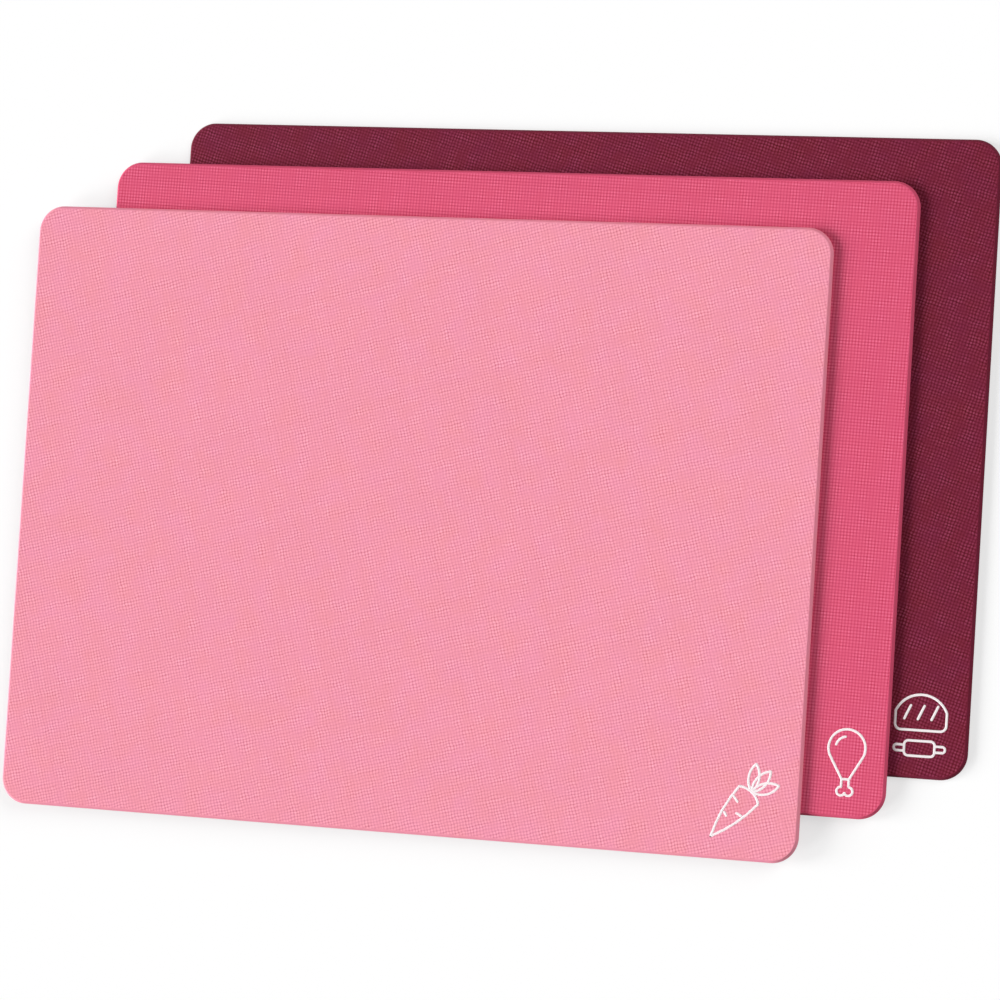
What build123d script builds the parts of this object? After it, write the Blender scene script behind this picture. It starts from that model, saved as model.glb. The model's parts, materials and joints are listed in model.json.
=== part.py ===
from build123d import *
import os

# A set of three flexible cutting mats, fanned out and lying on each other, in millimetres.
# +X runs along the long edges, +Y along the short edges and away from the printed corner, +Z is up.
# The origin is on the surface that the set lies on, under the middle of the fan.

# One mat, a moulded sheet with a bevelled rim
mat_length = 380.0
mat_width = 280.0
mat_thickness = 2.5
corner_radius = 12.0
rim_bevel_run = 1.0
rim_bevel_drop = 1.4
base_edge_break = 0.4

# How far each lower mat lies to the right of the mat on it, and behind it
middle_step_right = 36.9
middle_step_back = 21.9
bottom_step_right = 34.4
bottom_step_back = 19.4

# The top mat bends up at both ends: a flat centre, then bending strips, then the edge that is gripped
centre_panel_length = 60.0
gripped_edge_length = 50.0
bend_strips_per_side = 8

# A lower mat's bare edge peels up along a line just clear of the mat on it
peel_line_clearance = 0.6

# The printed marks, white lines of one width
ink_thickness = 0.1
ink_line_width = 1.1
print_edge_margin = 9.3

# The top mat's mark, a leaning carrot with its leaves
carrot_length = 25.0
carrot_width = 11.5
carrot_side_swell = 1.3
carrot_crown_rise = 1.9
carrot_lean_angle = -40
carrot_leaf_length = 12.5
carrot_leaf_swell = 2.4
carrot_leaf_spread_angle = 34
carrot_ring_dip = 0.6

# The rings on the carrot: the side each starts from, its depth down the root and its reach inwards
carrot_ring_shares = [(-1, 0.20, 0.62), (1, 0.36, 0.60), (-1, 0.52, 0.58)]

# The middle mat's mark, an upright drumstick
drumstick_height = 29.0
meat_radius = 8.2
meat_round_end_angle = 25
shank_width = 3.3
bone_length = 3.4
knuckle_radius = 1.9
knuckle_turn_angle = 245
gleam_radius = 5.0
gleam_start_angle = 100
gleam_turn_angle = 65

# The bottom mat's mark, a scored loaf over a rolling pin
loaf_width = 22.6
loaf_height = 15.5
loaf_side_height = 8.0
loaf_corner_radius = 2.6
loaf_score_length = 6.4
loaf_score_lean_angle = -24
loaf_score_spacing = 6.0
loaf_score_height_share = 0.5
loaf_to_pin_gap = 4.6
pin_barrel_length = 13.4
pin_barrel_height = 6.6
pin_barrel_corner_radius = 1.8
pin_handle_height = 2.6
pin_handle_corner_radius = 1.2

# Where the mats lie: the centre of each, with the whole fan centred on the origin
top_mat_x = -(middle_step_right + bottom_step_right) / 2
top_mat_y = -(middle_step_back + bottom_step_back) / 2
middle_mat_x = top_mat_x + middle_step_right
middle_mat_y = top_mat_y + middle_step_back
bottom_mat_x = middle_mat_x + bottom_step_right
bottom_mat_y = middle_mat_y + bottom_step_back
bottom_mat_z = 0
middle_mat_z = bottom_mat_z + mat_thickness
top_mat_z = middle_mat_z + mat_thickness

os.makedirs("parts", exist_ok=True)


def mat_stretch(label, centre_x, centre_y, base_z, left_cut=None, right_cut=None):
    """Make a mat, or its stretch between one or two cuts square to its length."""
    with BuildPart() as stretch:
        with BuildSketch(Plane.XY.offset(base_z)):
            with Locations((centre_x, centre_y)):
                RectangleRounded(mat_length, mat_width, corner_radius)
        extrude(amount=mat_thickness)
        top_face = stretch.faces().sort_by(Axis.Z)[-1]
        chamfer(top_face.edges(), length=rim_bevel_run, length2=rim_bevel_drop, reference=top_face)
        base_face = stretch.faces().sort_by(Axis.Z)[0]
        chamfer(base_face.edges(), length=base_edge_break)
        if left_cut is not None:
            split(bisect_by=Plane.YZ.offset(left_cut), keep=Keep.TOP)
        if right_cut is not None:
            split(bisect_by=Plane.YZ.offset(right_cut), keep=Keep.BOTTOM)
    stretch.part.label = label
    export_step(stretch.part, f"parts/{label}.step")


def printed_mark(label, lines, turn, centre_x, centre_y, base_z):
    """Print lines on a mat's top face, a set margin in from its right and near edges."""
    with BuildSketch() as strokes:
        for edge in lines.edges():
            trace(edge, line_width=ink_line_width)
            with Locations(edge @ 0, edge @ 1):
                Circle(ink_line_width / 2)
    mark = strokes.sketch.rotate(Axis.Z, turn)
    reach = mark.bounding_box()
    mark_x = centre_x + mat_length / 2 - print_edge_margin - reach.max.X
    mark_y = centre_y - mat_width / 2 + print_edge_margin - reach.min.Y
    with BuildPart() as ink:
        with BuildSketch(Plane.XY.offset(base_z + mat_thickness)):
            with Locations((mark_x, mark_y)):
                add(mark)
        extrude(amount=ink_thickness)
    ink.part.label = label
    export_step(ink.part, f"parts/{label}.step")


def carrot_lines():
    """Draw a carrot with its root straight down and its leaves fanned out."""
    half_width = carrot_width / 2
    root_tip = (0, -carrot_length)
    crown = Vector(0, carrot_crown_rise)
    with BuildLine() as lines:
        ThreePointArc((-half_width, 0), crown, (half_width, 0))
        for side in (-1, 1):
            SagittaArc((side * half_width, 0), root_tip, side * carrot_side_swell)
        for side in (-1, 0, 1):
            leaf_angle = side * carrot_leaf_spread_angle
            leaf_tip = crown + Vector(0, carrot_leaf_length).rotate(Axis.Z, leaf_angle)
            SagittaArc(crown, leaf_tip, carrot_leaf_swell)
            SagittaArc(crown, leaf_tip, -carrot_leaf_swell)
        for side, depth_share, reach_share in carrot_ring_shares:
            ring_x = side * half_width * (1 - depth_share)
            ring_y = -carrot_length * depth_share
            Line((ring_x, ring_y), (ring_x * (1 - reach_share), ring_y - carrot_ring_dip))
    return lines


def drumstick_lines():
    """Draw a drumstick, bone down, from the centre of its round of meat."""
    half_shank = shank_width / 2
    meat_side = Vector(meat_radius, 0).rotate(Axis.Z, -meat_round_end_angle)
    knuckle_y = meat_radius - drumstick_height + knuckle_radius
    bone_top_y = knuckle_y + knuckle_radius
    shank_y = bone_top_y + bone_length
    with BuildLine() as lines:
        ThreePointArc((-meat_side.X, meat_side.Y), (0, meat_radius), meat_side)
        for side in (-1, 1):
            Line((side * meat_side.X, meat_side.Y), (side * half_shank, shank_y))
            Line((side * half_shank, shank_y), (side * half_shank, bone_top_y))
            CenterArc((side * half_shank, knuckle_y), knuckle_radius, 90, -side * knuckle_turn_angle)
        Line((-half_shank, shank_y), (half_shank, shank_y))
        CenterArc((0, 0), gleam_radius, gleam_start_angle, gleam_turn_angle)
    return lines


def loaf_and_pin_lines():
    """Draw a scored loaf, from the middle of its base, over a rolling pin."""
    half_loaf = loaf_width / 2
    half_barrel = pin_barrel_length / 2
    half_barrel_height = pin_barrel_height / 2
    half_handle_height = pin_handle_height / 2
    pin_y = -loaf_to_pin_gap - half_barrel_height
    base_x = half_loaf - loaf_corner_radius
    with BuildLine() as lines:
        Line((-base_x, 0), (base_x, 0))
        for side in (-1, 1):
            CenterArc((side * base_x, loaf_corner_radius), loaf_corner_radius, -90, side * 90)
            Line((side * half_loaf, loaf_corner_radius), (side * half_loaf, loaf_side_height))
        ThreePointArc((-half_loaf, loaf_side_height), (0, loaf_height), (half_loaf, loaf_side_height))
        for place in (-1, 0, 1):
            score_centre = Vector(place * loaf_score_spacing, loaf_height * loaf_score_height_share)
            score_half = Vector(0, loaf_score_length / 2).rotate(Axis.Z, loaf_score_lean_angle)
            Line(score_centre - score_half, score_centre + score_half)
        FilletPolyline(
            (-half_barrel, pin_y - half_barrel_height),
            (half_barrel, pin_y - half_barrel_height),
            (half_barrel, pin_y + half_barrel_height),
            (-half_barrel, pin_y + half_barrel_height),
            radius=pin_barrel_corner_radius,
            close=True,
        )
        for side in (-1, 1):
            FilletPolyline(
                (side * half_barrel, pin_y - half_handle_height),
                (side * half_loaf, pin_y - half_handle_height),
                (side * half_loaf, pin_y + half_handle_height),
                (side * half_barrel, pin_y + half_handle_height),
                radius=pin_handle_corner_radius,
            )
    return lines


# The bottom mat: the part under the other mats, its bare right edge and its print
bottom_peel_x = middle_mat_x + mat_length / 2 + peel_line_clearance
mat_stretch("bottom_mat", bottom_mat_x, bottom_mat_y, bottom_mat_z, right_cut=bottom_peel_x)
mat_stretch("bottom_mat_bare_edge", bottom_mat_x, bottom_mat_y, bottom_mat_z, left_cut=bottom_peel_x)
printed_mark("bottom_mat_print", loaf_and_pin_lines(), 0, bottom_mat_x, bottom_mat_y, bottom_mat_z)

# The middle mat, in the same three pieces
middle_peel_x = top_mat_x + mat_length / 2 + peel_line_clearance
mat_stretch("middle_mat", middle_mat_x, middle_mat_y, middle_mat_z, right_cut=middle_peel_x)
mat_stretch("middle_mat_bare_edge", middle_mat_x, middle_mat_y, middle_mat_z, left_cut=middle_peel_x)
printed_mark("middle_mat_print", drumstick_lines(), 0, middle_mat_x, middle_mat_y, middle_mat_z)

# The top mat: its flat centre, then the strips and the gripped edge on each side, and its print
half_centre = centre_panel_length / 2
grip_line = mat_length / 2 - gripped_edge_length
strip_length = (grip_line - half_centre) / bend_strips_per_side
mat_stretch(
    "top_mat_centre",
    top_mat_x,
    top_mat_y,
    top_mat_z,
    left_cut=top_mat_x - half_centre,
    right_cut=top_mat_x + half_centre,
)
for number in range(bend_strips_per_side):
    inner_line = half_centre + number * strip_length
    outer_line = inner_line + strip_length
    mat_stretch(
        f"top_mat_left_strip_{number + 1}",
        top_mat_x,
        top_mat_y,
        top_mat_z,
        left_cut=top_mat_x - outer_line,
        right_cut=top_mat_x - inner_line,
    )
    mat_stretch(
        f"top_mat_right_strip_{number + 1}",
        top_mat_x,
        top_mat_y,
        top_mat_z,
        left_cut=top_mat_x + inner_line,
        right_cut=top_mat_x + outer_line,
    )
mat_stretch("top_mat_left_edge", top_mat_x, top_mat_y, top_mat_z, right_cut=top_mat_x - grip_line)
mat_stretch("top_mat_right_edge", top_mat_x, top_mat_y, top_mat_z, left_cut=top_mat_x + grip_line)
printed_mark("top_mat_print", carrot_lines(), carrot_lean_angle, top_mat_x, top_mat_y, top_mat_z)
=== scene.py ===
import json
import math

import bmesh
import bpy
from bpy.props import FloatProperty, FloatVectorProperty, IntProperty, PointerProperty
from mathutils import Matrix, Vector

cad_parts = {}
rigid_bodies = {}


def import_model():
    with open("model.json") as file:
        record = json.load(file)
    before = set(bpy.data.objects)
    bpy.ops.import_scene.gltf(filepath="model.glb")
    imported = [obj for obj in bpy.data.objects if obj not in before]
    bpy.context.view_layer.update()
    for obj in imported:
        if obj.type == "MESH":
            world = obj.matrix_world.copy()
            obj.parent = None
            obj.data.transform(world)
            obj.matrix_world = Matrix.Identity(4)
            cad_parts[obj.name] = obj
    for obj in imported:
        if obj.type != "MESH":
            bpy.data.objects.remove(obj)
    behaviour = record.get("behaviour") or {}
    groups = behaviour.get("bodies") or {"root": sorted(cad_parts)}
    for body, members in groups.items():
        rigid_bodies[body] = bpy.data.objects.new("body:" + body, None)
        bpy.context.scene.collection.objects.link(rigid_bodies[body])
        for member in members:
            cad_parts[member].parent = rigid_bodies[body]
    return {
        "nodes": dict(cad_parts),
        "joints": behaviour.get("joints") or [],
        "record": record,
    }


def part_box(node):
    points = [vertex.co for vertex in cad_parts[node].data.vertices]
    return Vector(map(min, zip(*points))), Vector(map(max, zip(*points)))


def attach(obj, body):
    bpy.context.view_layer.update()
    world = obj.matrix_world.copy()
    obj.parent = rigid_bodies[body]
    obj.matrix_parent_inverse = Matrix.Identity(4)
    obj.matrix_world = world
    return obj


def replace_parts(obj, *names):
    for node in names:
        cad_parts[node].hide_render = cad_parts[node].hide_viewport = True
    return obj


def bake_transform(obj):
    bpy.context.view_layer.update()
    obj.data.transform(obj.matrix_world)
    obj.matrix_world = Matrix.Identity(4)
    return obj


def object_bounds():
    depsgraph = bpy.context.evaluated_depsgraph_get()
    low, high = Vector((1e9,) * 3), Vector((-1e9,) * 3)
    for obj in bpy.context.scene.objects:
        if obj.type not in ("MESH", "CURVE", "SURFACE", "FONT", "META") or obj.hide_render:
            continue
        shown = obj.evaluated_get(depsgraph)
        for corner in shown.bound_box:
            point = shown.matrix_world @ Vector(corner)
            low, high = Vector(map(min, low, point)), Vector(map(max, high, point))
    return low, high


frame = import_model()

bl_info = {
    "name": "Fanned Flexible Cutting Mats",
    "version": (1, 0, 0),
    "blender": (4, 5, 0),
    "location": "3D View > Sidebar > Cutting Mats",
    "description": "Three moulded cutting mats with printed food marks, fanned out in a white studio",
    "category": "Add Mesh",
}

MM = 0.001
CAD_BOX = [list(corner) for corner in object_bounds()]
JOINTS = {joint["name"]: joint for joint in frame["joints"]}
LAYOUT_MAP = "sheet_layout"
EMBOSSED = "embossed"
# Points closer than this are one, in metres
MERGE_GAP = 1e-6
CUT_GAP = 1e-7
SHARP_ANGLE = math.radians(32)
ARC_STEP = math.radians(6)
ARRIS_STEPS = 3
MARK_CORNER_STEPS = 12
LINE_SIDES = 12


def linear(hex_colour):
    """Turn an sRGB hex colour into Blender's linear red, green and blue."""
    shares = [int(hex_colour[at:at + 2], 16) / 255 for at in (1, 3, 5)]
    return [s / 12.92 if s <= 0.04045 else ((s + 0.055) / 1.055) ** 2.4 for s in shares]


def mat_nodes(mat):
    """List the CAD nodes of one mat's sheet, without its print."""
    return [name for name in frame["nodes"] if name.startswith(mat + "_mat") and not name.endswith("print")]


def span(nodes):
    """Give the lowest and highest corner over several CAD nodes."""
    boxes = [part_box(name) for name in nodes]
    low = Vector([min(box[0][axis] for box in boxes) for axis in range(3)])
    high = Vector([max(box[1][axis] for box in boxes) for axis in range(3)])
    return low, high


MAT_LOW, MAT_HIGH = span(mat_nodes("middle"))
MAT_SIZE = MAT_HIGH - MAT_LOW


def size_field(name, millimetres, description):
    """A length that a user may change, given in millimetres and held in metres."""
    return FloatProperty(
        name=name, description=description, default=millimetres * MM, precision=5, subtype="DISTANCE"
    )


def angle_field(name, degrees, description):
    """An angle that a user may change, given in degrees."""
    return FloatProperty(name=name, description=description, default=math.radians(degrees), subtype="ANGLE")


def share_field(name, share, description):
    """A share from 0 to 1 that a user may change."""
    return FloatProperty(name=name, description=description, default=share, min=0, max=1, subtype="FACTOR")


def colour_field(name, hex_colour, description):
    """A surface colour that a user may change, given as sRGB hex."""
    return FloatVectorProperty(
        name=name, description=description, default=linear(hex_colour), min=0, max=1, subtype="COLOR"
    )


class SheetSizes(bpy.types.PropertyGroup):
    """Sizes that all three moulded sheets share."""

    length: size_field("Length", MAT_SIZE.x / MM, "Long side of a mat")
    width: size_field("Width", MAT_SIZE.y / MM, "Short side of a mat")
    thickness: size_field("Thickness", MAT_SIZE.z / MM, "Thickness of the moulded sheet")
    corner_radius: size_field("Corner radius", 12.0, "Radius of a mat's corners, seen from above")
    corner_steps: IntProperty(name="Corner steps", description="Points on each corner", default=15, min=4)
    bevel_run: size_field("Bevel run", 1.0, "How far the bevel reaches in from the edge")
    bevel_drop: size_field("Bevel drop", 1.4, "How far the bevel reaches down from the top")
    base_break: size_field("Base edge break", 0.4, "Small bevel round the underside")
    arris_radius: size_field("Arris radius", 0.25, "Roundness of the rim's arrises, as the mould leaves them")
    flat_border: size_field("Flat border", 0.6, "Smooth border between the rim and the embossed face")
    bend_columns: IntProperty(name="Bend columns", description="Columns across each bend", default=10, min=2)
    bend_hollow: size_field("Bend hollow", 0.24, "Depth of the hollow beneath the top mat's first bends")
    peel_reach: size_field("Peel reach", 3.0, "How far a peeled edge bends each side of its peel line")


class SheetFinish(bpy.types.PropertyGroup):
    """Colours and relief of the moulded sheets and the ink."""

    top_colour: colour_field("Top mat", "#F296AA", "Face colour of the top mat")
    middle_colour: colour_field("Middle mat", "#DC5677", "Face colour of the middle mat")
    bottom_colour: colour_field("Bottom mat", "#701C33", "Face colour of the bottom mat")
    ink_colour: colour_field("Ink", "#FFF8F9", "Colour of the printed marks")
    ink_thinness: share_field("Ink thinness", 0.09, "How much of the sheet's colour shows through the ink")
    cell_pitch: size_field("Cell pitch", 1.42, "Distance between the embossed grid's grooves")
    groove_depth: size_field("Groove depth", 0.03, "Depth of the grooves between the embossed squares")
    top_turn: angle_field("Top grid turn", -16.0, "Turn of the embossed grid on the top mat")
    middle_turn: angle_field("Middle grid turn", 2.0, "Turn of the embossed grid on the middle mat")
    bottom_turn: angle_field("Bottom grid turn", 16.0, "Turn of the embossed grid on the bottom mat")
    # Groove shade is painted shade: it darkens each mat's grooves and lightens its squares in the colour
    # itself
    top_groove: share_field("Top groove shade", 0.24, "How much darker the top mat's grooves are")
    middle_groove: share_field("Middle groove shade", 0.24, "How much darker the middle mat's grooves are")
    bottom_groove: share_field("Bottom groove shade", 0.14, "How much darker the bottom mat's grooves are")
    # Groove tint is painted bounce light: the colour is made deeper in the grooves, where light would be
    # coloured twice
    top_tint: share_field("Top groove tint", 0.35, "How much deeper the colour is in the top mat's grooves")
    middle_tint: share_field("Middle groove tint", 0.35, "How much deeper it is in the middle mat's grooves")
    bottom_tint: share_field("Bottom groove tint", 0.5, "How much deeper it is in the bottom mat's grooves")
    top_strain: size_field("Top strain", 1.3, "How far the top mat's grooves stray, at most")
    middle_strain: size_field("Middle strain", 0.3, "How far the middle mat's grooves stray, at most")
    bottom_strain: size_field("Bottom strain", 1.1, "How far the bottom mat's grooves stray, at most")
    top_drift: share_field("Top hue drift", 0.006, "How far the top mat's hue drifts, of the hue circle")
    middle_drift: share_field("Middle hue drift", 0.001, "How far the middle mat's hue drifts")
    bottom_drift: share_field("Bottom hue drift", 0.0045, "How far the bottom mat's hue drifts")


class PrintSizes(bpy.types.PropertyGroup):
    """Sizes that all printed lines share."""

    line_width: size_field("Line width", 1.1, "Width of a printed line")
    ink_height: size_field("Ink height", 0.1, "Height of the ink over the sheet")
    ink_sink: size_field("Ink sink", 0.03, "How far the ink reaches into the sheet's relief")
    point_spacing: size_field("Point spacing", 0.35, "Distance between the points along a printed line")


class CarrotSizes(bpy.types.PropertyGroup):
    """Sizes of the top mat's mark, a leaning carrot."""

    root_length: size_field("Root length", 25.0, "Length of the root")
    root_width: size_field("Root width", 11.5, "Width of the root at its crown")
    side_swell: size_field("Side swell", 1.3, "Swell of the root's sides")
    crown_rise: size_field("Crown rise", 1.9, "Rise of the crown")
    lean: angle_field("Lean", -40.0, "Lean of the whole carrot")
    leaf_length: size_field("Leaf length", 12.5, "Length of a leaf")
    leaf_swell: size_field("Leaf swell", 2.4, "Swell of a leaf to each side")
    leaf_spread: angle_field("Leaf spread", 34.0, "Angle between the leaves")
    ring_dip: size_field("Ring dip", 0.6, "Dip of a ring line towards its inner end")


class DrumstickSizes(bpy.types.PropertyGroup):
    """Sizes of the middle mat's mark, an upright drumstick."""

    height: size_field("Height", 29.0, "Height of the drumstick's drawing")
    meat_radius: size_field("Meat radius", 8.2, "Radius of the round of meat")
    round_end: angle_field("Round end", 25.0, "Angle below level at which the round of meat ends")
    shank_width: size_field("Shank width", 3.3, "Width of the bone")
    bone_length: size_field("Bone length", 3.4, "Bare length of the bone")
    knuckle_radius: size_field("Knuckle radius", 1.9, "Radius of the bone's two knuckles")
    knuckle_turn: angle_field("Knuckle turn", 245.0, "How far round a knuckle its line goes")
    gleam_radius: size_field("Gleam radius", 5.0, "Radius of the gleam line on the meat")
    gleam_start: angle_field("Gleam start", 100.0, "Where the gleam line starts")
    gleam_turn: angle_field("Gleam turn", 65.0, "How far round the gleam line goes")


class LoafSizes(bpy.types.PropertyGroup):
    """Sizes of the bottom mat's mark, a scored loaf over a rolling pin."""

    width: size_field("Loaf width", 22.6, "Width of the loaf and of the rolling pin")
    height: size_field("Loaf height", 15.5, "Height of the loaf")
    side_height: size_field("Side height", 8.0, "Height of the loaf's sides")
    corner_radius: size_field("Corner radius", 2.6, "Radius of the loaf's lower corners")
    score_length: size_field("Score length", 6.4, "Length of a score on the loaf")
    score_lean: angle_field("Score lean", -24.0, "Lean of the scores")
    score_spacing: size_field("Score spacing", 6.0, "Distance between the scores")
    score_height: share_field("Score height", 0.5, "Height of the scores' middles, as a share of the loaf's")
    pin_gap: size_field("Pin gap", 4.6, "Gap between the loaf and the rolling pin")
    barrel_length: size_field("Barrel length", 13.4, "Length of the rolling pin's barrel")
    barrel_height: size_field("Barrel height", 6.6, "Height of the rolling pin's barrel")
    barrel_corner: size_field("Barrel corner", 1.8, "Radius of the barrel's corners")
    handle_height: size_field("Handle height", 2.6, "Height of the rolling pin's handles")
    handle_corner: size_field("Handle corner", 1.2, "Radius of the handles' corners")


class StageSettings(bpy.types.PropertyGroup):
    """The studio: floor, light and camera."""

    floor_size: size_field("Floor size", 6000.0, "Side of the square floor")
    floor_gap: size_field("Floor gap", 0.1, "Gap between the floor and the lowest mat")
    floor_shade: colour_field("Floor", "#B8B8B8", "Colour of the floor as it lights the mats")
    floor_seen: colour_field("Floor as seen", "#FFFFFF", "Colour of the floor as the camera sees it")
    floor_glow: share_field("Floor glow", 0.62, "Share of the floor's white that a shadow doesn't darken")
    sky_share: share_field("Sky share", 0.12, "Share of a level face's light from all round")
    key_share: share_field("Key share", 0.36, "Share of a level face's light from the low key light")
    key_softness: angle_field("Key softness", 24.0, "Width of each key light, as the mats see it")
    key_elevation: angle_field("Key elevation", 20.5, "Height of the key lights over the floor")
    key_azimuth: angle_field("Key azimuth", 183.0, "Direction that the key light comes from")
    side_key_share: share_field("Side key share", 0.25, "Share of a level face's light from the side key")
    side_key_azimuth: angle_field("Side key azimuth", 214.0, "Direction that the side key light comes from")
    fill_share: share_field("Fill share", 0.27, "Share of a level face's light from the fill light")
    fill_softness: angle_field("Fill softness", 40.0, "Width of the fill light, as the mats see it")
    fill_elevation: angle_field("Fill elevation", 33.0, "Height of the fill light over the floor")
    fill_azimuth: angle_field("Fill azimuth", 38.0, "Direction that the fill light comes from")
    lens: FloatProperty(name="Lens", description="Focal length in millimetres", default=133.1)
    camera_place: FloatVectorProperty(
        name="Camera place", description="Where the camera stands",
        default=(0.49356, -0.07057, 1.59738), subtype="TRANSLATION", precision=5,
    )
    camera_turn: FloatVectorProperty(
        name="Camera turn", description="How the camera is turned",
        default=[math.radians(angle) for angle in (3.261, 16.787, 3.785)], subtype="EULER", precision=5,
    )


class CuttingMats(bpy.types.PropertyGroup):
    """Everything that a user may change on the mats and their stage."""

    sheet: PointerProperty(type=SheetSizes)
    finish: PointerProperty(type=SheetFinish)
    lines: PointerProperty(type=PrintSizes)
    carrot: PointerProperty(type=CarrotSizes)
    drumstick: PointerProperty(type=DrumstickSizes)
    loaf: PointerProperty(type=LoafSizes)
    stage: PointerProperty(type=StageSettings)


# Nodes

def add_node(tree, kind, inputs=None, **settings):
    """Add a node, set its fields, and fill or link its inputs by name or number.

    A node given for an input stands for its first output.
    """
    made = tree.nodes.new(kind)
    for name, value in settings.items():
        setattr(made, name, value)
    for key, value in (inputs or {}).items():
        if isinstance(value, bpy.types.Node):
            value = value.outputs[0]
        if isinstance(value, bpy.types.NodeSocket):
            tree.links.new(value, made.inputs[key])
        else:
            made.inputs[key].default_value = value
    return made


def new_tree(name, sockets):
    """Start a Geometry Nodes tree with named inputs, and give it with what it is given."""
    tree = bpy.data.node_groups.new(name, "GeometryNodeTree")
    for socket, kind in {"Geometry": "Geometry", **sockets}.items():
        tree.interface.new_socket(socket, in_out="INPUT", socket_type="NodeSocket" + kind)
    tree.interface.new_socket("Geometry", in_out="OUTPUT", socket_type="NodeSocketGeometry")
    return tree, add_node(tree, "NodeGroupInput").outputs


def end_tree(tree, shapes, material):
    """Join a tree's shapes and end it in smooth shading, Realize Instances and Set Material."""
    joined = add_node(tree, "GeometryNodeJoinGeometry")
    for shape in shapes:
        tree.links.new(shape.outputs[0], joined.inputs[0])
    smooth = add_node(tree, "GeometryNodeSetShadeSmooth", {"Geometry": joined})
    real = add_node(tree, "GeometryNodeRealizeInstances", {0: smooth})
    finished = add_node(tree, "GeometryNodeSetMaterial", {"Geometry": real, "Material": material})
    add_node(tree, "NodeGroupOutput", {"Geometry": finished})


def half_round(tree, section):
    """Turn a section half round, because its own Y points down where it is swept along a level line."""
    return add_node(tree, "GeometryNodeTransform", {"Geometry": section, "Rotation": (0, 0, math.pi)})


def sheet_tree():
    """A rim section swept round a rounded rectangle, and closed with two flat faces."""
    tree, given = new_tree("Moulded sheet", {
        "Length": "Float", "Width": "Float", "Thickness": "Float", "Corner Radius": "Float",
        "Corner Steps": "Int", "Material": "Material",
    })
    oblong = add_node(tree, "GeometryNodeCurvePrimitiveQuadrilateral", {
        "Width": given["Length"], "Height": given["Width"],
    })
    outline = add_node(tree, "GeometryNodeFilletCurve", {
        "Curve": oblong, "Count": given["Corner Steps"], "Radius": given["Corner Radius"],
    }, mode="POLY")
    upright = add_node(tree, "GeometryNodeSetCurveNormal", {"Curve": outline}, mode="Z_UP")
    rim = add_node(tree, "GeometryNodeCurveToMesh", {
        "Curve": upright, "Profile Curve": half_round(tree, given["Geometry"]), "Fill Caps": False,
    })
    neighbours = add_node(tree, "GeometryNodeInputMeshEdgeNeighbors")
    is_open = add_node(tree, "FunctionNodeCompare", {2: neighbours, 3: 1}, data_type="INT", operation="EQUAL")
    place = add_node(tree, "GeometryNodeInputPosition")
    height = add_node(tree, "ShaderNodeSeparateXYZ", {0: place}).outputs["Z"]
    middle = add_node(tree, "ShaderNodeMath", {0: given["Thickness"], 1: 0.5}, operation="MULTIPLY")
    flats = []
    for side in ("GREATER_THAN", "LESS_THAN"):
        here = add_node(tree, "FunctionNodeCompare", {
            0: height, 1: middle,
        }, data_type="FLOAT", operation=side)
        edge = add_node(tree, "FunctionNodeBooleanMath", {0: is_open, 1: here}, operation="AND")
        loop = add_node(tree, "GeometryNodeMeshToCurve", {"Mesh": rim, "Selection": edge})
        flats.append(add_node(tree, "GeometryNodeFillCurve", {"Curve": loop}, mode="NGONS"))
    rise = add_node(tree, "ShaderNodeCombineXYZ", {"Z": given["Thickness"]})
    top = add_node(tree, "GeometryNodeTransform", {"Geometry": flats[0], "Translation": rise})
    underside = add_node(tree, "GeometryNodeFlipFaces", {"Mesh": flats[1]})
    open_sheet = add_node(tree, "GeometryNodeJoinGeometry")
    for part in (rim, top, underside):
        tree.links.new(part.outputs[0], open_sheet.inputs[0])
    closed = add_node(tree, "GeometryNodeMergeByDistance", {"Geometry": open_sheet, "Distance": MERGE_GAP})
    end_tree(tree, [closed], given["Material"])
    return tree


def ink_tree():
    """Low domed lines along the drawn strokes, with a round end on each."""
    tree, given = new_tree("Printed lines", {
        "Line Width": "Float", "Ink Height": "Float", "Ink Sink": "Float", "Point Spacing": "Float",
        "Material": "Material",
    })
    radius = add_node(tree, "ShaderNodeMath", {0: given["Line Width"], 1: 0.5}, operation="MULTIPLY")
    flatness = add_node(tree, "ShaderNodeMath", {0: given["Ink Height"], 1: radius}, operation="DIVIDE")
    floor = add_node(tree, "ShaderNodeMath", {0: given["Ink Sink"], 1: -1.0}, operation="MULTIPLY")

    def low_dome(shape, axis):
        """Press a round shape to the ink's height, and cut its underside flat."""
        place = add_node(tree, "GeometryNodeInputPosition")
        at = add_node(tree, "ShaderNodeSeparateXYZ", {0: place}).outputs
        scaled = add_node(tree, "ShaderNodeMath", {0: at[axis], 1: flatness}, operation="MULTIPLY")
        pressed = add_node(tree, "ShaderNodeMath", {0: scaled, 1: floor}, operation="MAXIMUM")
        kept = {name: at[name] for name in "XYZ" if name != axis}
        moved = add_node(tree, "ShaderNodeCombineXYZ", {axis: pressed, **kept})
        return add_node(tree, "GeometryNodeSetPosition", {"Geometry": shape, "Position": moved})

    even = add_node(tree, "GeometryNodeResampleCurve", {
        "Curve": given["Geometry"], "Length": given["Point Spacing"],
    }, mode="LENGTH")
    upright = add_node(tree, "GeometryNodeSetCurveNormal", {"Curve": even}, mode="Z_UP")
    section = add_node(tree, "GeometryNodeCurvePrimitiveCircle", {
        "Resolution": LINE_SIDES, "Radius": radius,
    }, mode="RADIUS")
    line = add_node(tree, "GeometryNodeCurveToMesh", {
        "Curve": upright, "Profile Curve": half_round(tree, low_dome(section, "Y")), "Fill Caps": True,
    })
    ball = add_node(tree, "GeometryNodeMeshUVSphere", {
        "Segments": LINE_SIDES, "Rings": LINE_SIDES // 2, "Radius": radius,
    })
    ends = add_node(tree, "GeometryNodeCurveEndpointSelection")
    caps = add_node(tree, "GeometryNodeInstanceOnPoints", {
        "Points": upright, "Selection": ends, "Instance": low_dome(ball, "Z"),
    })
    end_tree(tree, [line, caps], given["Material"])
    return tree


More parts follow.
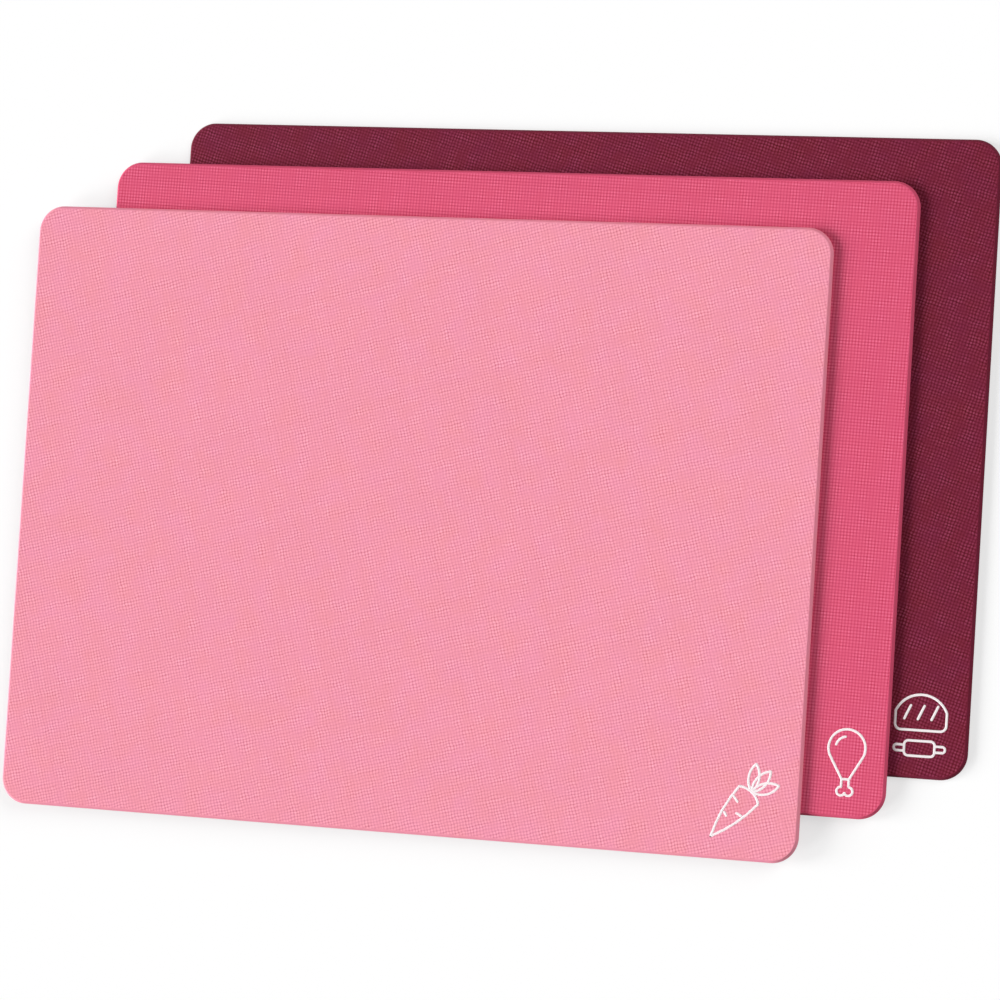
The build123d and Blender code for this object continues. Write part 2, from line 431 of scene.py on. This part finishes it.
def grown_mesh(name, splines, tree, values):
    """Run a tree on splines, each a list of points and whether it is closed, and keep the mesh."""
    drawing = bpy.data.curves.new(name, "CURVE")
    drawing.dimensions = "3D"
    for points, closed in splines:
        spline = drawing.splines.new("POLY")
        spline.points.add(len(points) - 1)
        for point, place in zip(spline.points, points):
            point.co = (place[0], place[1], 0, 1)
        spline.use_cyclic_u = closed
    holder = bpy.data.objects.new(name, drawing)
    bpy.context.scene.collection.objects.link(holder)
    modifier = holder.modifiers.new(tree.name, "NODES")
    modifier.node_group = tree
    for socket in tree.interface.items_tree:
        if socket.in_out == "INPUT" and socket.name in values:
            modifier[socket.identifier] = values[socket.name]
    graph = bpy.context.evaluated_depsgraph_get()
    mesh = bpy.data.meshes.new_from_object(holder.evaluated_get(graph))
    bpy.data.objects.remove(holder)
    bpy.data.curves.remove(drawing)
    if not mesh.polygons:
        raise RuntimeError(f"the tree {tree.name} made no faces for {name}")
    return mesh


# Materials

# What a noise texture gives lies mostly between these two
NOISE_SPAN = {"From Min": 0.3, "From Max": 0.7}
# The cosine of a place across a groove, at the groove's edge and at its floor
GROOVE_EDGE, GROOVE_FLOOR = 0.3, -0.8
# A groove's relief, from 0 to 1, as it averages over its pitch
GROOVE_MEAN = 0.42
# How far each kind of unevenness reaches before it turns, in metres
STRETCH_REACH = 4 * MM
PATCH_REACH = 6 * MM
GRAIN_REACH = 0.3 * MM
HUE_REACH = 14 * MM
CLOUD_REACH = 35 * MM
SPECKLE_REACH = 0.7 * MM
# As STRETCH_REACH, but across the grooves, where one pitch is a full turn in radians
CUT_REACH = 7
GRAIN_SHARE = 0.15
SPECKLE_HEIGHT = 0.02 * MM


def bare_material(name):
    """Start a material with no nodes, and give it with its tree."""
    material = bpy.data.materials.new(name)
    material.use_nodes = True
    material.node_tree.nodes.clear()
    return material, material.node_tree


def sheet_material(name, mat, finish):
    """Moulded thermoplastic polyurethane: matt and soft, with grooves that cross in a fine square grid."""
    material, tree = bare_material(name)
    # shade and tint carry the painted shade and the painted bounce light of the grooves
    colour, shade, tint, turn, strain, drift = [
        getattr(finish, f"{mat}_{field}") for field in ("colour", "groove", "tint", "turn", "strain", "drift")
    ]
    layout = add_node(tree, "ShaderNodeUVMap", uv_map=LAYOUT_MAP)
    # The sheet stretches and shrinks a little, and unevenly, as it leaves the mould
    stretch = add_node(tree, "ShaderNodeTexNoise", {
        "Vector": layout, "Scale": 1 / STRETCH_REACH, "Detail": 2.0,
    })
    strained = add_node(tree, "ShaderNodeVectorMath", {
        0: stretch.outputs["Color"], 1: (strain, strain, 0), 2: layout,
    }, operation="MULTIPLY_ADD")
    cells = add_node(tree, "ShaderNodeMapping", {
        "Vector": strained, "Rotation": (0, 0, turn), "Scale": [2 * math.pi / finish.cell_pitch] * 3,
    })
    axes = add_node(tree, "ShaderNodeSeparateXYZ", {0: cells})
    grooves = []
    for axis in "XY":
        across = axes.outputs[axis]
        wave = add_node(tree, "ShaderNodeMath", {0: across}, operation="COSINE")
        groove = add_node(tree, "ShaderNodeMapRange", {
            "Value": wave, "From Min": GROOVE_EDGE, "From Max": GROOVE_FLOOR,
            "To Min": -GROOVE_MEAN, "To Max": 1 - GROOVE_MEAN,
        }, interpolation_type="SMOOTHSTEP")
        # No two grooves of the mould are cut quite alike
        cut = add_node(tree, "ShaderNodeTexNoise", {
            "W": across, "Scale": 1 / CUT_REACH, "Detail": 1.0,
        }, noise_dimensions="1D")
        strength = add_node(tree, "ShaderNodeMapRange", {
            "Value": cut, **NOISE_SPAN, "To Min": 0.38, "To Max": 0.62,
        })
        grooves.append(add_node(tree, "ShaderNodeMath", {0: groove, 1: strength}, operation="MULTIPLY"))
    crossed = add_node(tree, "ShaderNodeMath", dict(enumerate(grooves)), operation="ADD")
    # The mould's relief is deeper in some patches than in others, over a few millimetres
    patches = add_node(tree, "ShaderNodeTexNoise", {
        "Vector": layout, "Scale": 1 / PATCH_REACH, "Detail": 2.0,
    })
    depth = add_node(tree, "ShaderNodeMapRange", {
        "Value": patches, **NOISE_SPAN, "To Min": 0.35, "To Max": 1.35,
    })
    embossed = add_node(tree, "ShaderNodeAttribute", attribute_name=EMBOSSED).outputs["Fac"]
    present = add_node(tree, "ShaderNodeMath", {0: depth, 1: embossed}, operation="MULTIPLY")
    relief = add_node(tree, "ShaderNodeMath", {0: crossed, 1: present}, operation="MULTIPLY")
    # The grain of the mould's blasted steel
    grain = add_node(tree, "ShaderNodeTexNoise", {"Vector": layout, "Scale": 1 / GRAIN_REACH, "Detail": 1.0})
    hollow = add_node(tree, "ShaderNodeMath", {0: grain, 1: GRAIN_SHARE, 2: relief}, operation="MULTIPLY_ADD")
    bump = add_node(tree, "ShaderNodeBump", {"Height": hollow, "Distance": finish.groove_depth}, invert=True)
    # Painted shade and light: a groove is darker, and a square a little lighter, than the sheet's colour as
    # it looks from afar, as shade in the grooves would make them
    painted_groove_shade = add_node(tree, "ShaderNodeMath", {0: relief, 1: shade}, operation="MULTIPLY")
    painted_relief_shading = add_node(tree, "ShaderNodeMath", {0: 1.0, 1: painted_groove_shade}, operation="SUBTRACT")
    # Slow mottling of the pigment, some centimetres across
    clouds = add_node(tree, "ShaderNodeTexNoise", {"Vector": layout, "Scale": 1 / CLOUD_REACH, "Detail": 3.0})
    lightness = add_node(tree, "ShaderNodeMapRange", {
        "Value": clouds, **NOISE_SPAN, "To Min": 0.99, "To Max": 1.01,
    })
    # The pigment's slow mottling, times the painted shade of the grooves
    value = add_node(tree, "ShaderNodeMath", {0: lightness, 1: painted_relief_shading}, operation="MULTIPLY")
    # The pigment is mixed a little unevenly too, so the hue drifts over a centimetre or two
    blend = add_node(tree, "ShaderNodeTexNoise", {"Vector": layout, "Scale": 1 / HUE_REACH, "Detail": 2.0})
    hue = add_node(tree, "ShaderNodeMapRange", {
        "Value": blend, **NOISE_SPAN, "To Min": 0.5 - drift, "To Max": 0.5 + drift,
    })
    # Painted bounce light: light is coloured twice between a groove's walls, so the colour is painted deeper
    # there
    painted_bounce_power = add_node(tree, "ShaderNodeMath", {0: relief, 1: tint, 2: 1.0}, operation="MULTIPLY_ADD")
    deeper = add_node(tree, "ShaderNodeGamma", {"Color": (*colour, 1), "Gamma": painted_bounce_power})
    face = add_node(tree, "ShaderNodeHueSaturation", {"Hue": hue, "Value": value, "Color": deeper})
    shader = add_node(tree, "ShaderNodeBsdfPrincipled", {
        "Base Color": face, "Roughness": 0.62, "IOR": 1.5, "Specular IOR Level": 0.12, "Normal": bump,
    })
    add_node(tree, "ShaderNodeOutputMaterial", {"Surface": shader})
    return material


def ink_material(name, sheet_colour, finish):
    """Screen-printed white ink: thin and matt, laid a little unevenly over the relief."""
    material, tree = bare_material(name)
    layout = add_node(tree, "ShaderNodeUVMap", uv_map=LAYOUT_MAP)
    speckle = add_node(tree, "ShaderNodeTexNoise", {
        "Vector": layout, "Scale": 1 / SPECKLE_REACH, "Detail": 2.0,
    })
    value = add_node(tree, "ShaderNodeMapRange", {
        "Value": speckle, **NOISE_SPAN, "To Min": 0.94, "To Max": 1.0,
    })
    colour = Vector(finish.ink_colour).lerp(Vector(sheet_colour), finish.ink_thinness)
    face = add_node(tree, "ShaderNodeHueSaturation", {"Value": value, "Color": (*colour, 1)})
    bump = add_node(tree, "ShaderNodeBump", {"Height": speckle, "Distance": SPECKLE_HEIGHT})
    shader = add_node(tree, "ShaderNodeBsdfPrincipled", {
        "Base Color": face, "Roughness": 0.55, "IOR": 1.5, "Specular IOR Level": 0.3, "Normal": bump,
    })
    add_node(tree, "ShaderNodeOutputMaterial", {"Surface": shader})
    return material


# Shapes

def rounded_points(points, radius, steps, closed=False):
    """Round the corners of a run of points, each with an arc of the radius."""
    made = []
    count = len(points)
    for at, corner in enumerate(points):
        if not closed and at in (0, count - 1):
            made.append(corner)
            continue
        before = (points[at - 1] - corner).normalized()
        after = (points[(at + 1) % count] - corner).normalized()
        half = before.angle(after) / 2
        centre = corner + (before + after).normalized() * (radius / math.sin(half))
        start = corner + before * (radius / math.tan(half)) - centre
        end = corner + after * (radius / math.tan(half)) - centre
        turn = start.angle_signed(end)
        made += [centre + Matrix.Rotation(-turn * step / steps, 2) @ start for step in range(steps + 1)]
    return made


def rim_section(sheet):
    """Points from the underside, out and up round the rim, to the top face, each an inset and a height."""
    corners = [
        Vector((sheet.base_break + sheet.flat_border, 0)),
        Vector((sheet.base_break, 0)),
        Vector((0, sheet.base_break)),
        Vector((0, sheet.thickness - sheet.bevel_drop)),
        Vector((sheet.bevel_run, sheet.thickness)),
        Vector((sheet.bevel_run + sheet.flat_border, sheet.thickness)),
    ]
    return rounded_points(corners, sheet.arris_radius, ARRIS_STEPS)


def whole_sheet(name, material, sheet):
    """Make one mat's whole sheet, centred on its own middle and resting on its underside."""
    section = [(inset, height) for inset, height in rim_section(sheet)]
    return grown_mesh(name, [(section, False)], sheet_tree(), {
        "Length": sheet.length, "Width": sheet.width, "Thickness": sheet.thickness,
        "Corner Radius": sheet.corner_radius, "Corner Steps": sheet.corner_steps, "Material": material,
    })


def evenly(first, last, steps):
    """Places spread evenly between two, without the two."""
    return [first + (last - first) * step / steps for step in range(1, steps)]


def cut_stretch(whole, left, right, columns):
    """Cut a stretch out of a whole sheet, close its cut ends, and divide it at the columns."""
    shape = bmesh.new()
    shape.from_mesh(whole)
    for place, outwards in ((left, -1), (right, 1)):
        if place is not None:
            everything = shape.verts[:] + shape.edges[:] + shape.faces[:]
            cut = bmesh.ops.bisect_plane(
                shape, geom=everything, dist=CUT_GAP, plane_co=(place, 0, 0), plane_no=(outwards, 0, 0),
                clear_outer=True,
            )
            edges = [item for item in cut["geom_cut"] if isinstance(item, bmesh.types.BMEdge)]
            bmesh.ops.contextual_create(shape, geom=edges)
    for place in columns:
        everything = shape.verts[:] + shape.edges[:] + shape.faces[:]
        bmesh.ops.bisect_plane(
            shape, geom=everything, dist=CUT_GAP, plane_co=(place, 0, 0), plane_no=(1, 0, 0)
        )
    bmesh.ops.recalc_face_normals(shape, faces=shape.faces[:])
    mesh = whole.copy()
    shape.to_mesh(mesh)
    shape.free()
    return mesh


def lay_out(mesh):
    """Keep each corner's flat place on its mat, in metres from the mat's middle, as a UV map."""
    layout = mesh.uv_layers.new(name=LAYOUT_MAP)
    for loop in mesh.loops:
        layout.uv[loop.index].vector = mesh.vertices[loop.vertex_index].co.xy


def mark_embossing(mesh, sheet):
    """Keep for each point whether it is on an embossed face and not on the smooth rim."""
    straight = Vector((sheet.length / 2 - sheet.corner_radius, sheet.width / 2 - sheet.corner_radius))
    embossed = mesh.attributes.new(EMBOSSED, "FLOAT", "POINT")
    for vertex in mesh.vertices:
        past = Vector([max(abs(vertex.co[axis]) - straight[axis], 0) for axis in range(2)])
        rim = sheet.bevel_run if vertex.co.z > sheet.thickness / 2 else sheet.base_break
        inset = sheet.corner_radius - past.length
        embossed.data[vertex.index].value = float(inset > rim + sheet.flat_border / 2)


def add_piece(name, mesh, place):
    """Put a finished mesh in its place as a piece of the object."""
    mesh.name = name
    mesh.transform(Matrix.Translation(place))
    mesh.polygons.foreach_set("use_smooth", [True] * len(mesh.polygons))
    mesh.set_sharp_from_angle(angle=SHARP_ANGLE)
    piece = bpy.data.objects.new(name, mesh)
    bpy.context.scene.collection.objects.link(piece)
    return piece


def add_stretch(name, whole, sheet, middle, slot, left=None, right=None, columns=()):
    """Cut a piece out of a mat's whole sheet, between places along X, and put it where the mat lies."""
    ends = [None if end is None else end - middle.x for end in (left, right)]
    mesh = cut_stretch(whole, *ends, [place - middle.x for place in columns])
    lay_out(mesh)
    mark_embossing(mesh, sheet)
    return add_piece(name, mesh, middle)


def mat_middle(mat):
    """The middle of a mat's underside."""
    low, high = span(mat_nodes(mat))
    return Vector(((low.x + high.x) / 2, (low.y + high.y) / 2, low.z))


def bend_across(piece):
    """Bake a piece's place into its mesh."""
    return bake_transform(piece)


def hollow_beneath(piece, joint, reach, depth):
    """Hollow a piece's underside a hair at its hinge line, so that it bends clear of the mat beneath."""
    hinge = Vector(joint["pos_m"])
    underside = min(vertex.co.z for vertex in piece.data.vertices)
    for vertex in piece.data.vertices:
        if vertex.co.z < (underside + hinge.z) / 2:
            off = (vertex.co.x - hinge.x) / reach
            vertex.co.z += depth * (1 - off ** 2) ** 2


def build_lower_mat(mat, material, settings):
    """Make a lower mat: the stretch under the other mats, and the bare edge that peels up."""
    sheet = settings.sheet
    middle = mat_middle(mat)
    slot = mat + "_sheet"
    joint = JOINTS[mat + "_edge_peel"]
    start = joint["pos_m"][0] - sheet.peel_reach
    end = joint["pos_m"][0] + sheet.peel_reach
    whole = whole_sheet(mat, material, sheet)
    main = add_stretch(mat + "_mat_main_sheet", whole, sheet, middle, slot, right=start)
    columns = evenly(start, end, 2 * sheet.bend_columns) + [end]
    edge = add_stretch(mat + "_mat_edge_sheet", whole, sheet, middle, slot, left=start, columns=columns)
    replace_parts(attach(main, joint["parent"]), mat + "_mat")
    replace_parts(bend_across(edge), mat + "_mat_bare_edge")
    bpy.data.meshes.remove(whole)


def build_top_mat(material, settings):
    """Make the top mat: a flat middle, and on each side a row of bends out to the gripped edge."""
    sheet = settings.sheet
    middle = mat_middle("top")
    bodies = frame["record"]["behaviour"]["bodies"]
    whole = whole_sheet("top", material, sheet)
    flat_ends = []
    for side, outwards in (("left", -1), ("right", 1)):
        joints = [JOINTS[name] for name in sorted(JOINTS) if name.startswith(side + "_curl")]
        reach = abs(joints[1]["pos_m"][0] - joints[0]["pos_m"][0]) / 2
        for number, joint in enumerate(joints, start=1):
            start = joint["pos_m"][0] - outwards * reach
            end = joint["pos_m"][0] + outwards * reach
            columns = evenly(start, end, sheet.bend_columns)
            if joint is joints[-1]:
                columns.append(end)
                end = None
            left, right = (start, end) if outwards > 0 else (end, start)
            name = f"top_mat_{side}_bend_{number}"
            piece = add_stretch(name, whole, sheet, middle, "top_sheet", left, right, columns)
            if joint is joints[0]:
                hollow_beneath(piece, joint, reach, sheet.bend_hollow)
            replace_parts(bend_across(piece), bodies[joint["child"]][0])
        flat_ends.append(joints[0]["pos_m"][0] - outwards * reach)
    flat = add_stretch("top_mat_flat_middle", whole, sheet, middle, "top_sheet", *flat_ends)
    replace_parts(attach(flat, "top_centre"), "top_mat_centre")
    bpy.data.meshes.remove(whole)


# Marks, drawn as strokes on the flat, each a list of points and whether it is closed

def arc(centre, radius, start, turn):
    """Points on an arc about a centre."""
    steps = max(2, math.ceil(abs(turn) / ARC_STEP))
    angles = [start + turn * step / steps for step in range(steps + 1)]
    return [Vector(centre) + radius * Vector((math.cos(angle), math.sin(angle))) for angle in angles]


def bowed(first, last, rise):
    """Points on the arc between two points that rises to the left of the way there."""
    first, last = Vector(first), Vector(last)
    half = (last - first) / 2
    left = Vector((-half.y, half.x)).normalized()
    depth = (half.length_squared - rise ** 2) / (2 * rise)
    centre = first + half - left * depth
    sweep = 2 * math.atan2(half.length, depth) if rise > 0 else 2 * math.atan2(-half.length, -depth)
    begin = first - centre
    return arc(centre, begin.length, math.atan2(begin.y, begin.x), -sweep)


def turned(points, angle):
    """Points turned about the origin."""
    return [Matrix.Rotation(angle, 2) @ Vector(point) for point in points]


def carrot_strokes(carrot):
    """A carrot with its root straight down and its leaves fanned out, then leant over."""
    half_width = carrot.root_width / 2
    crown = Vector((0, carrot.crown_rise))
    tip = Vector((0, -carrot.root_length))
    strokes = [bowed((half_width, 0), (-half_width, 0), -carrot.crown_rise)]
    for side in (-1, 1):
        strokes.append(bowed((side * half_width, 0), tip, side * carrot.side_swell))
    for side in (-1, 0, 1):
        leaf_tip = crown + turned([(0, carrot.leaf_length)], side * carrot.leaf_spread)[0]
        strokes += [bowed(crown, leaf_tip, carrot.leaf_swell), bowed(crown, leaf_tip, -carrot.leaf_swell)]
    # Each ring line: its side, its depth down the root and its reach inwards, as shares
    for side, depth_share, reach_share in ((-1, 0.20, 0.62), (1, 0.36, 0.60), (-1, 0.52, 0.58)):
        start = Vector((side * half_width * (1 - depth_share), -carrot.root_length * depth_share))
        strokes.append([start, Vector((start.x * (1 - reach_share), start.y - carrot.ring_dip))])
    return [(turned(stroke, carrot.lean), False) for stroke in strokes]


def drumstick_strokes(drumstick):
    """A drumstick, bone down, about the centre of its round of meat."""
    half_shank = drumstick.shank_width / 2
    knuckle_y = drumstick.meat_radius - drumstick.height + drumstick.knuckle_radius
    bone_top = knuckle_y + drumstick.knuckle_radius
    shank_y = bone_top + drumstick.bone_length
    round_turn = math.pi + 2 * drumstick.round_end
    meat = arc((0, 0), drumstick.meat_radius, -drumstick.round_end, round_turn)
    strokes = [meat, [Vector((-half_shank, shank_y)), Vector((half_shank, shank_y))]]
    for side, meat_end in ((-1, meat[-1]), (1, meat[0])):
        shank = Vector((side * half_shank, shank_y))
        bone = Vector((side * half_shank, bone_top))
        strokes += [[meat_end, shank], [shank, bone]]
        centre = (side * half_shank, knuckle_y)
        strokes.append(arc(centre, drumstick.knuckle_radius, math.pi / 2, -side * drumstick.knuckle_turn))
    strokes.append(arc((0, 0), drumstick.gleam_radius, drumstick.gleam_start, drumstick.gleam_turn))
    return [(stroke, False) for stroke in strokes]


def loaf_strokes(loaf):
    """A scored loaf, from the middle of its base, over a rolling pin."""
    half_loaf = loaf.width / 2
    half_barrel = loaf.barrel_length / 2
    pin_y = -loaf.pin_gap - loaf.barrel_height / 2
    shoulder = Vector((half_loaf, loaf.side_height))
    outline = [
        shoulder, Vector((half_loaf, 0)), Vector((-half_loaf, 0)), Vector((-half_loaf, loaf.side_height)),
    ]
    strokes = [
        (rounded_points(outline, loaf.corner_radius, MARK_CORNER_STEPS), False),
        (bowed(shoulder, outline[-1], loaf.side_height - loaf.height), False),
    ]
    for place in (-1, 0, 1):
        centre = Vector((place * loaf.score_spacing, loaf.height * loaf.score_height))
        half = turned([(0, loaf.score_length / 2)], loaf.score_lean)[0]
        strokes.append(([centre - half, centre + half], False))
    upper, lower = pin_y + loaf.barrel_height / 2, pin_y - loaf.barrel_height / 2
    barrel = [
        Vector((-half_barrel, lower)), Vector((half_barrel, lower)),
        Vector((half_barrel, upper)), Vector((-half_barrel, upper)),
    ]
    strokes.append((rounded_points(barrel, loaf.barrel_corner, MARK_CORNER_STEPS, closed=True), True))
    upper, lower = pin_y + loaf.handle_height / 2, pin_y - loaf.handle_height / 2
    for side in (-1, 1):
        handle = [
            Vector((side * half_barrel, lower)), Vector((side * half_loaf, lower)),
            Vector((side * half_loaf, upper)), Vector((side * half_barrel, upper)),
        ]
        strokes.append((rounded_points(handle, loaf.handle_corner, MARK_CORNER_STEPS), False))
    return strokes


def print_mark(mat, strokes, settings):
    """Print strokes on a mat where its CAD print is, and give the finished piece."""
    node = mat + "_mat_print"
    low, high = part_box(node)
    middle = mat_middle(mat)
    points = [point for stroke, _ in strokes for point in stroke]
    drawn = [(min(p[axis] for p in points) + max(p[axis] for p in points)) / 2 for axis in range(2)]
    shift = Vector(((low.x + high.x) / 2 - middle.x - drawn[0], (low.y + high.y) / 2 - middle.y - drawn[1]))
    placed = [([point + shift for point in stroke], closed) for stroke, closed in strokes]
    lines, finish = settings.lines, settings.finish
    ink = ink_material(f"Screen-printed white ink on the {mat} mat", getattr(finish, mat + "_colour"), finish)
    mesh = grown_mesh(node, placed, ink_tree(), {
        "Line Width": lines.line_width, "Ink Height": lines.ink_height, "Ink Sink": lines.ink_sink,
        "Point Spacing": lines.point_spacing, "Material": ink,
    })
    lay_out(mesh)
    piece = add_piece(mat + "_mat_mark", mesh, Vector((middle.x, middle.y, low.z)))
    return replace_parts(piece, node)


# Stage

def add_lamp(name, share, softness, elevation, azimuth):
    """Add a distant soft lamp that gives a level white face a share of full white."""
    light = bpy.data.lights.new(name, "SUN")
    light.energy = share * math.pi / math.sin(elevation)
    light.angle = softness
    lamp = bpy.data.objects.new(name, light)
    level = math.cos(elevation)
    lamp.location = (math.cos(azimuth) * level, math.sin(azimuth) * level, math.sin(elevation))
    lamp.rotation_euler = lamp.location.to_track_quat("Z", "Y").to_euler()
    bpy.context.scene.collection.objects.link(lamp)


def build_stage(settings):
    """Make the floor, the even sky, the two low key lights, the fill light and the camera."""
    stage = settings.stage
    scene = bpy.context.scene
    half = stage.floor_size / 2
    level = CAD_BOX[0][2] - stage.floor_gap
    board = bpy.data.meshes.new("studio_floor")
    corners = [(-half, -half, level), (half, -half, level), (half, half, level), (-half, half, level)]
    board.from_pydata(corners, [], [(0, 1, 2, 3)])
    board.materials.append(floor_material(stage))
    floor = bpy.data.objects.new("studio_floor", board)
    scene.collection.objects.link(floor)

    scene.world = studio_world(stage.sky_share)
    add_lamp("soft_key", stage.key_share, stage.key_softness, stage.key_elevation, stage.key_azimuth)
    add_lamp(
        "side_key", stage.side_key_share, stage.key_softness, stage.key_elevation, stage.side_key_azimuth
    )
    add_lamp("soft_fill", stage.fill_share, stage.fill_softness, stage.fill_elevation, stage.fill_azimuth)

    lens = bpy.data.cameras.new("photo_camera")
    lens.lens = stage.lens
    lens.sensor_width = 36
    lens.clip_start, lens.clip_end = 0.05, 20
    camera = bpy.data.objects.new("photo_camera", lens)
    camera.location = stage.camera_place
    camera.rotation_euler = stage.camera_turn
    scene.collection.objects.link(camera)
    scene.camera = camera
    scene.view_settings.view_transform = "Standard"


def seen_directly(tree):
    """1 for a ray from the camera, or one that gloss or glass sends on, and 0 for light on the object."""
    path = add_node(tree, "ShaderNodeLightPath").outputs
    shiny = add_node(tree, "ShaderNodeMath", {
        0: path["Is Glossy Ray"], 1: path["Is Transmission Ray"],
    }, operation="MAXIMUM")
    return add_node(tree, "ShaderNodeMath", {0: path["Is Camera Ray"], 1: shiny}, operation="MAXIMUM")


def floor_material(stage):
    """Matt white board: pure white to the camera where no shadow falls, and greyer as it lights the mats."""
    material, tree = bare_material("Matt white studio board")
    seen = seen_directly(tree)
    lit_share = 1 - stage.floor_glow
    colour = add_node(tree, "ShaderNodeMix", {
        0: seen, 6: (*stage.floor_shade, 1), 7: (*[part * lit_share for part in stage.floor_seen], 1),
    }, data_type="RGBA")
    board = add_node(tree, "ShaderNodeBsdfDiffuse", {"Color": colour.outputs[2]})
    strength = add_node(tree, "ShaderNodeMath", {0: seen, 1: stage.floor_glow}, operation="MULTIPLY")
    glow = add_node(tree, "ShaderNodeEmission", {"Color": (*stage.floor_seen, 1), "Strength": strength})
    both = add_node(tree, "ShaderNodeAddShader", {0: board, 1: glow})
    add_node(tree, "ShaderNodeOutputMaterial", {"Surface": both})
    return material


def studio_world(strength):
    """An even white sky that shows as pure white."""
    world = bpy.data.worlds.new("Even white studio")
    world.use_nodes = True
    tree = world.node_tree
    tree.nodes.clear()
    level = add_node(tree, "ShaderNodeMapRange", {
        "Value": seen_directly(tree), "To Min": strength, "To Max": 1.0,
    })
    sky = add_node(tree, "ShaderNodeBackground", {"Color": (1, 1, 1, 1), "Strength": level})
    add_node(tree, "ShaderNodeOutputWorld", {"Surface": sky})
    return world


class MakeBottomMat(bpy.types.Operator):
    """Build the maroon mat that the others lie on"""

    bl_idname = "cutting_mats.bottom_mat"
    bl_label = "Bottom Mat"

    def execute(self, context):
        settings = context.scene.cutting_mats
        material = sheet_material("Moulded maroon TPU sheet", "bottom", settings.finish)
        build_lower_mat("bottom", material, settings)
        return {"FINISHED"}


class MakeMiddleMat(bpy.types.Operator):
    """Build the rose mat between the other two"""

    bl_idname = "cutting_mats.middle_mat"
    bl_label = "Middle Mat"

    def execute(self, context):
        settings = context.scene.cutting_mats
        material = sheet_material("Moulded rose TPU sheet", "middle", settings.finish)
        build_lower_mat("middle", material, settings)
        return {"FINISHED"}


class MakeTopMat(bpy.types.Operator):
    """Build the pale pink mat whose two ends bend up"""

    bl_idname = "cutting_mats.top_mat"
    bl_label = "Top Mat"

    def execute(self, context):
        settings = context.scene.cutting_mats
        material = sheet_material("Moulded pale pink TPU sheet", "top", settings.finish)
        build_top_mat(material, settings)
        return {"FINISHED"}


class MakeMarks(bpy.types.Operator):
    """Print a carrot, a drumstick and a loaf with a rolling pin, one on each mat"""

    bl_idname = "cutting_mats.marks"
    bl_label = "Printed Marks"

    def execute(self, context):
        settings = context.scene.cutting_mats
        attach(print_mark("top", carrot_strokes(settings.carrot), settings), "top_right_edge")
        drumstick = print_mark("middle", drumstick_strokes(settings.drumstick), settings)
        bend_across(drumstick)
        loaf = print_mark("bottom", loaf_strokes(settings.loaf), settings)
        bend_across(loaf)
        return {"FINISHED"}


class MakeStage(bpy.types.Operator):
    """Set up the floor, the light and the camera"""

    bl_idname = "cutting_mats.stage"
    bl_label = "Studio Stage"

    def execute(self, context):
        build_stage(context.scene.cutting_mats)
        return {"FINISHED"}


class CuttingMatsPanel(bpy.types.Panel):
    """Sizes, colours and build buttons for the cutting mats"""

    bl_idname = "CUTTINGMATS_PT_build"
    bl_label = "Cutting Mats"
    bl_space_type = "VIEW_3D"
    bl_region_type = "UI"
    bl_category = "Cutting Mats"

    def draw(self, context):
        settings = context.scene.cutting_mats
        for operator in OPERATORS:
            self.layout.operator(operator.bl_idname)
        for group in settings.bl_rna.properties:
            if group.type == "POINTER" and group.identifier != "rna_type":
                box = self.layout.box()
                box.label(text=group.name)
                values = getattr(settings, group.identifier)
                for field in values.bl_rna.properties:
                    if field.identifier not in ("rna_type", "name"):
                        box.prop(values, field.identifier)


OPERATORS = (MakeBottomMat, MakeMiddleMat, MakeTopMat, MakeMarks, MakeStage)
CLASSES = (
    SheetSizes, SheetFinish, PrintSizes, CarrotSizes, DrumstickSizes, LoafSizes, StageSettings, CuttingMats,
    *OPERATORS, CuttingMatsPanel,
)


def register():
    for item in CLASSES:
        bpy.utils.register_class(item)
    bpy.types.Scene.cutting_mats = PointerProperty(type=CuttingMats)


def unregister():
    del bpy.types.Scene.cutting_mats
    for item in reversed(CLASSES):
        bpy.utils.unregister_class(item)


def main():
    """Build everything in order."""
    register()
    bpy.ops.cutting_mats.bottom_mat()
    bpy.ops.cutting_mats.middle_mat()
    bpy.ops.cutting_mats.top_mat()
    bpy.ops.cutting_mats.marks()
    bpy.ops.cutting_mats.stage()
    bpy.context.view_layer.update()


if __name__ == "__main__":
    main()
